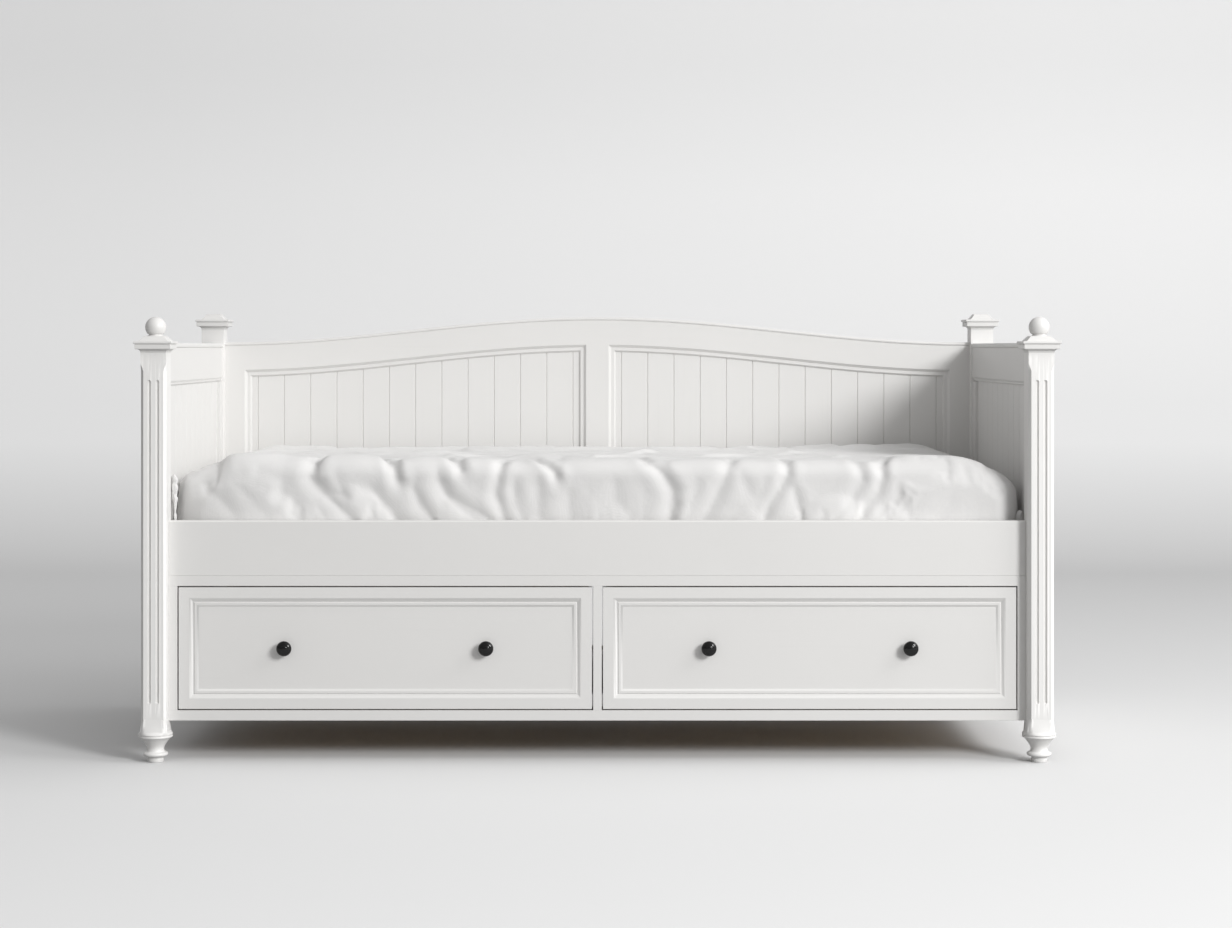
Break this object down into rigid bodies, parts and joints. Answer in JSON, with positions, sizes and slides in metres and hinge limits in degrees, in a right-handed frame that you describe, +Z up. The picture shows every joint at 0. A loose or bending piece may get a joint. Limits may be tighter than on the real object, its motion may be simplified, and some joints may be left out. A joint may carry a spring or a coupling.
{
  "type": "storage daybed",
  "caption": "White painted daybed with an arched board back, board sides, turned feet, a mattress on slats and storage drawers on roller runners below.",
  "frame": {"origin": "on the floor, midway between the ends and midway between the front and back caps", "axes": "+X to the right seen from the front, -Y towards the front, +Z up"},
  "size_m": [2.17, 0.94, 1.066],
  "materials": {
    "white_paint": "satin white paint over solid wood",
    "board_paint": "satin white paint over tongue-and-groove boards",
    "raw_pine": "sanded, unpainted pine",
    "black_gloss": "black gloss enamel",
    "mattress_cover": "white cotton cover, loosely puckered",
    "runner_steel": "pale epoxy coated sheet steel",
    "roller_nylon": "white nylon"
  },
  "bodies": {
    "frame": {"post_front_left": "white_paint", "post_front_right": "white_paint", "post_back_left": "white_paint", "post_back_right": "white_paint", "cap_front_left": "white_paint", "cap_front_right": "white_paint", "cap_back_left": "white_paint", "cap_back_right": "white_paint", "ball_finial_left": "white_paint", "ball_finial_right": "white_paint", "back_top_rail": "white_paint", "back_bottom_rail": "white_paint", "back_stile_left": "white_paint", "back_stile_centre": "white_paint", "back_stile_right": "white_paint", "back_boards_left": "board_paint", "back_boards_right": "board_paint", "back_lower_rail": "white_paint", "side_top_rail_left": "white_paint", "side_boards_left": "board_paint", "side_bottom_rail_left": "white_paint", "side_top_rail_right": "white_paint", "side_boards_right": "board_paint", "side_bottom_rail_right": "white_paint", "front_rail": "white_paint", "slat_ledge_front": "raw_pine", "slat_ledge_back": "raw_pine", "slatted_base": "raw_pine", "mattress": "mattress_cover", "carcass_top_rail": "white_paint", "carcass_bottom_rail": "white_paint", "carcass_side_left": "white_paint", "carcass_side_right": "white_paint", "carcass_divider": "white_paint", "runner_left_outer": "runner_steel", "runner_left_inner": "runner_steel", "runner_right_outer": "runner_steel", "runner_right_inner": "runner_steel"},
    "drawer_left": {"drawer_left_front": "white_paint", "drawer_left_side_outer": "raw_pine", "drawer_left_side_inner": "raw_pine", "drawer_left_bottom": "raw_pine", "drawer_left_back": "raw_pine", "knob_left_a": "black_gloss", "knob_left_b": "black_gloss"},
    "drawer_right": {"drawer_right_front": "white_paint", "drawer_right_side_outer": "raw_pine", "drawer_right_side_inner": "raw_pine", "drawer_right_bottom": "raw_pine", "drawer_right_back": "raw_pine", "knob_right_a": "black_gloss", "knob_right_b": "black_gloss"},
    "front_roller_left_outer": {"front_roller_left_outer": "roller_nylon"},
    "rear_roller_left_outer": {"rear_roller_left_outer": "roller_nylon"},
    "front_roller_left_inner": {"front_roller_left_inner": "roller_nylon"},
    "rear_roller_left_inner": {"rear_roller_left_inner": "roller_nylon"},
    "front_roller_right_outer": {"front_roller_right_outer": "roller_nylon"},
    "rear_roller_right_outer": {"rear_roller_right_outer": "roller_nylon"},
    "front_roller_right_inner": {"front_roller_right_inner": "roller_nylon"},
    "rear_roller_right_inner": {"rear_roller_right_inner": "roller_nylon"}
  },
  "joints": [
    {"name": "drawer_left_slide", "type": "slide", "parent": "frame", "child": "drawer_left", "axis": [0, -1, 0], "range_m": [0, 0.45]},
    {"name": "drawer_right_slide", "type": "slide", "parent": "frame", "child": "drawer_right", "axis": [0, -1, 0], "range_m": [0, 0.45]},
    {"name": "front_roller_left_outer_turn", "type": "hinge", "parent": "frame", "child": "front_roller_left_outer", "pos_m": [-0.98275, -0.384, 0.168], "axis": [1, 0, 0], "range_deg": [0, 2348]},
    {"name": "rear_roller_left_outer_turn", "type": "hinge", "parent": "drawer_left", "child": "rear_roller_left_outer", "pos_m": [-0.98275, 0.233, 0.165], "axis": [1, 0, 0], "range_deg": [0, 2582]},
    {"name": "front_roller_left_inner_turn", "type": "hinge", "parent": "frame", "child": "front_roller_left_inner", "pos_m": [-0.01725, -0.384, 0.168], "axis": [1, 0, 0], "range_deg": [0, 2348]},
    {"name": "rear_roller_left_inner_turn", "type": "hinge", "parent": "drawer_left", "child": "rear_roller_left_inner", "pos_m": [-0.01725, 0.233, 0.165], "axis": [1, 0, 0], "range_deg": [0, 2582]},
    {"name": "front_roller_right_outer_turn", "type": "hinge", "parent": "frame", "child": "front_roller_right_outer", "pos_m": [0.98275, -0.384, 0.168], "axis": [1, 0, 0], "range_deg": [0, 2348]},
    {"name": "rear_roller_right_outer_turn", "type": "hinge", "parent": "drawer_right", "child": "rear_roller_right_outer", "pos_m": [0.98275, 0.233, 0.165], "axis": [1, 0, 0], "range_deg": [0, 2582]},
    {"name": "front_roller_right_inner_turn", "type": "hinge", "parent": "frame", "child": "front_roller_right_inner", "pos_m": [0.01725, -0.384, 0.168], "axis": [1, 0, 0], "range_deg": [0, 2348]},
    {"name": "rear_roller_right_inner_turn", "type": "hinge", "parent": "drawer_right", "child": "rear_roller_right_inner", "pos_m": [0.01725, 0.233, 0.165], "axis": [1, 0, 0], "range_deg": [0, 2582]}
  ],
  "couplings": [
    {"joint": "front_roller_left_outer_turn", "follows": "drawer_left_slide", "rad_per_m": 90.909},
    {"joint": "rear_roller_left_outer_turn", "follows": "drawer_left_slide", "rad_per_m": 100},
    {"joint": "front_roller_left_inner_turn", "follows": "drawer_left_slide", "rad_per_m": 90.909},
    {"joint": "rear_roller_left_inner_turn", "follows": "drawer_left_slide", "rad_per_m": 100},
    {"joint": "front_roller_right_outer_turn", "follows": "drawer_right_slide", "rad_per_m": 90.909},
    {"joint": "rear_roller_right_outer_turn", "follows": "drawer_right_slide", "rad_per_m": 100},
    {"joint": "front_roller_right_inner_turn", "follows": "drawer_right_slide", "rad_per_m": 90.909},
    {"joint": "rear_roller_right_inner_turn", "follows": "drawer_right_slide", "rad_per_m": 100}
  ]
}
